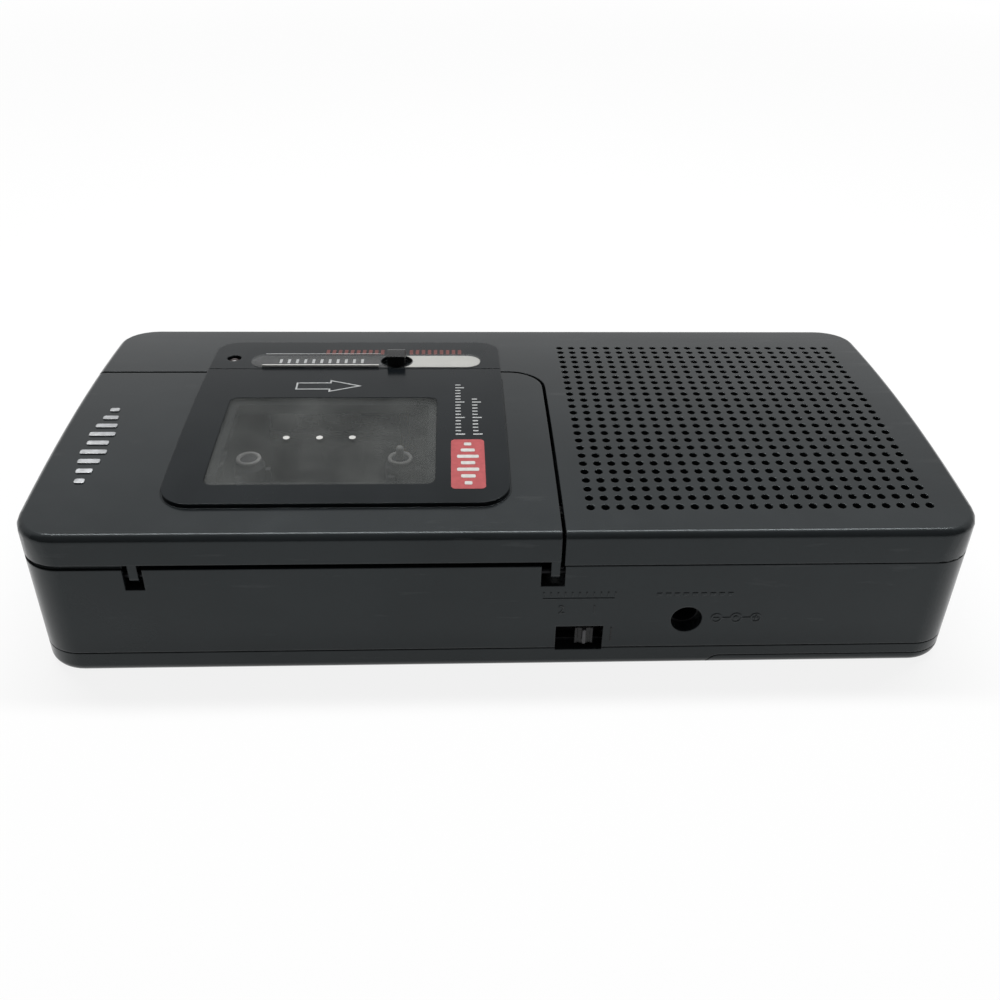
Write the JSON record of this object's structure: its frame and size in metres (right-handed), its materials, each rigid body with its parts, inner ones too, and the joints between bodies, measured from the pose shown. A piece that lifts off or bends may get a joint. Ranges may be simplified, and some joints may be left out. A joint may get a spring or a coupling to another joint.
{
  "type": "microcassette recorder",
  "caption": "Hand-held microcassette recorder with a crowned perforated speaker face, hinged cassette lid with a window, tape counter, side keys, geared tape drive and sliding battery door.",
  "frame": {"origin": "middle of the flat back on which the recorder lies", "axes": "+X from the cassette end to the speaker end, +Y from the hinge side to the key side, +Z out of the front face"},
  "size_m": [0.1216, 0.0612, 0.0247],
  "materials": {
    "shell": "fine moulded grain",
    "panel": "gloss",
    "window": "clear, smoke tinted",
    "lens": "clear",
    "white": "satin",
    "steel": "bright",
    "dark_steel": "blackened",
    "brass": "turned",
    "rubber": "matte",
    "gear": "natural nylon",
    "key_black": "fine moulded grain",
    "key_red": "fine moulded grain",
    "lamp": "clear red",
    "cone": "pressed paper",
    "switch_grey": "plain",
    "socket": "plain",
    "board": "lacquered laminate"
  },
  "bodies": {
    "cabinet": {"front_cabinet": "shell", "centre_cabinet": "shell", "back_cover": "shell", "case_screws": "steel", "hinge_pins": "dark_steel", "counter_panel": "panel", "counter_lens": "lens", "counter_bezel": "white", "counter_frame": "key_black", "counter_shaft": "steel", "record_lamp": "lamp", "speaker_frame": "steel", "speaker_cone": "cone", "speaker_magnet": "steel", "chassis_plate": "steel", "spindle_posts": "steel", "idler_post": "steel", "capstan_bearing": "brass", "motor": "steel", "drive_belt": "rubber", "volume_control": "switch_grey", "voice_switch": "socket", "speed_switch": "socket", "dc_socket": "socket", "earphone_socket": "socket", "microphone_socket": "socket", "microphone": "steel", "main_board": "board", "battery_contacts": "steel", "battery_springs": "steel"},
    "lid": {"cassette_lid": "shell", "lid_panel": "panel", "lid_window": "window", "cassette_springs": "steel"},
    "battery_door": {"battery_door": "shell"},
    "speed_knob": {"speed_knob": "key_black"},
    "reset_button": {"counter_reset_button": "key_black"},
    "record_key": {"record_key": "key_red"},
    "rewind_key": {"rewind_key": "key_black"},
    "play_key": {"play_key": "key_black"},
    "forward_key": {"forward_key": "key_black"},
    "stop_key": {"stop_key": "key_black"},
    "head_carriage": {"head_base": "steel", "record_head": "steel", "erase_head": "switch_grey"},
    "pinch_roller": {"pinch_roller": "rubber"},
    "volume_dial": {"volume_dial": "key_black"},
    "voice_knob": {"voice_switch_knob": "key_black"},
    "flywheel": {"flywheel": "brass"},
    "idler": {"idler_gear": "gear"},
    "takeup_reel": {"takeup_spindle": "switch_grey"},
    "supply_reel": {"supply_spindle": "switch_grey"},
    "motor_pulley": {"motor_pulley": "brass"},
    "counter_units": {"counter_wheel_units": "white"},
    "counter_tens": {"counter_wheel_tens": "white"},
    "counter_hundreds": {"counter_wheel_hundreds": "white"}
  },
  "joints": [
    {"name": "lid_hinge", "type": "hinge", "parent": "cabinet", "child": "lid", "pos_m": [-0.02, -0.0285, 0.01545], "axis": [1, 0, 0], "range_deg": [0, 85]},
    {"name": "battery_door_slide", "type": "slide", "parent": "cabinet", "child": "battery_door", "axis": [1, 0, 0], "range_m": [0, 0.034]},
    {"name": "speed_slide", "type": "slide", "parent": "cabinet", "child": "speed_knob", "axis": [-1, 0, 0], "range_m": [0, 0.002]},
    {"name": "voice_slide", "type": "slide", "parent": "cabinet", "child": "voice_knob", "axis": [0, 1, 0], "range_m": [-0.002, 0.002]},
    {"name": "reset_press", "type": "slide", "parent": "cabinet", "child": "reset_button", "axis": [0, 0, -1], "range_m": [0, 0.0008], "stiffness_N_per_m": 150, "springref_m": -0.001},
    {"name": "record_press", "type": "slide", "parent": "cabinet", "child": "record_key", "axis": [0, -1, 0], "range_m": [0, 0.002], "stiffness_N_per_m": 300, "springref_m": -0.002},
    {"name": "rewind_press", "type": "slide", "parent": "cabinet", "child": "rewind_key", "axis": [0, -1, 0], "range_m": [0, 0.002], "stiffness_N_per_m": 300, "springref_m": -0.002},
    {"name": "play_press", "type": "slide", "parent": "cabinet", "child": "play_key", "axis": [0, -1, 0], "range_m": [0, 0.002], "stiffness_N_per_m": 300, "springref_m": -0.002},
    {"name": "forward_press", "type": "slide", "parent": "cabinet", "child": "forward_key", "axis": [0, -1, 0], "range_m": [0, 0.002], "stiffness_N_per_m": 300, "springref_m": -0.002},
    {"name": "stop_press", "type": "slide", "parent": "cabinet", "child": "stop_key", "axis": [0, -1, 0], "range_m": [0, 0.002], "stiffness_N_per_m": 300, "springref_m": -0.002},
    {"name": "head_advance", "type": "slide", "parent": "cabinet", "child": "head_carriage", "axis": [0, -1, 0], "range_m": [0, 0.002]},
    {"name": "pinch_spin", "type": "hinge", "parent": "head_carriage", "child": "pinch_roller", "pos_m": [-0.01405, 0.0145, 0.0153], "axis": [0, 0, 1], "continuous": true},
    {"name": "volume_turn", "type": "hinge", "parent": "cabinet", "child": "volume_dial", "pos_m": [0.013, 0.0239, 0.0134], "axis": [0, 0, 1], "range_deg": [0, 280]},
    {"name": "flywheel_spin", "type": "hinge", "parent": "cabinet", "child": "flywheel", "pos_m": [-0.01405, 0.009, 0.0087], "axis": [0, 0, 1], "continuous": true},
    {"name": "idler_spin", "type": "hinge", "parent": "cabinet", "child": "idler", "pos_m": [-0.01405, 0.00275, 0.0087], "axis": [0, 0, 1], "continuous": true},
    {"name": "takeup_spin", "type": "hinge", "parent": "cabinet", "child": "takeup_reel", "pos_m": [-0.01405, -0.0055, 0.012], "axis": [0, 0, 1], "continuous": true},
    {"name": "supply_spin", "type": "hinge", "parent": "cabinet", "child": "supply_reel", "pos_m": [-0.03545, -0.0055, 0.012], "axis": [0, 0, 1], "continuous": true},
    {"name": "pulley_spin", "type": "hinge", "parent": "cabinet", "child": "motor_pulley", "pos_m": [0.014, -0.008, 0.00545], "axis": [0, 0, 1], "continuous": true},
    {"name": "counter_units_spin", "type": "hinge", "parent": "cabinet", "child": "counter_units", "pos_m": [-0.0049, 0.0145, 0.01915], "axis": [1, 0, 0], "continuous": true},
    {"name": "counter_tens_spin", "type": "hinge", "parent": "cabinet", "child": "counter_tens", "pos_m": [-0.00725, 0.0145, 0.01915], "axis": [1, 0, 0], "continuous": true},
    {"name": "counter_hundreds_spin", "type": "hinge", "parent": "cabinet", "child": "counter_hundreds", "pos_m": [-0.0096, 0.0145, 0.01915], "axis": [1, 0, 0], "continuous": true}
  ],
  "couplings": [
    {"joint": "head_advance", "follows": "play_press", "ratio": 1},
    {"joint": "idler_spin", "follows": "flywheel_spin", "ratio": -0.92308},
    {"joint": "takeup_spin", "follows": "flywheel_spin", "ratio": 0.6},
    {"joint": "pulley_spin", "follows": "flywheel_spin", "ratio": 5.2929},
    {"joint": "counter_tens_spin", "follows": "counter_units_spin", "ratio": 0.1},
    {"joint": "counter_hundreds_spin", "follows": "counter_units_spin", "ratio": 0.01}
  ]
}
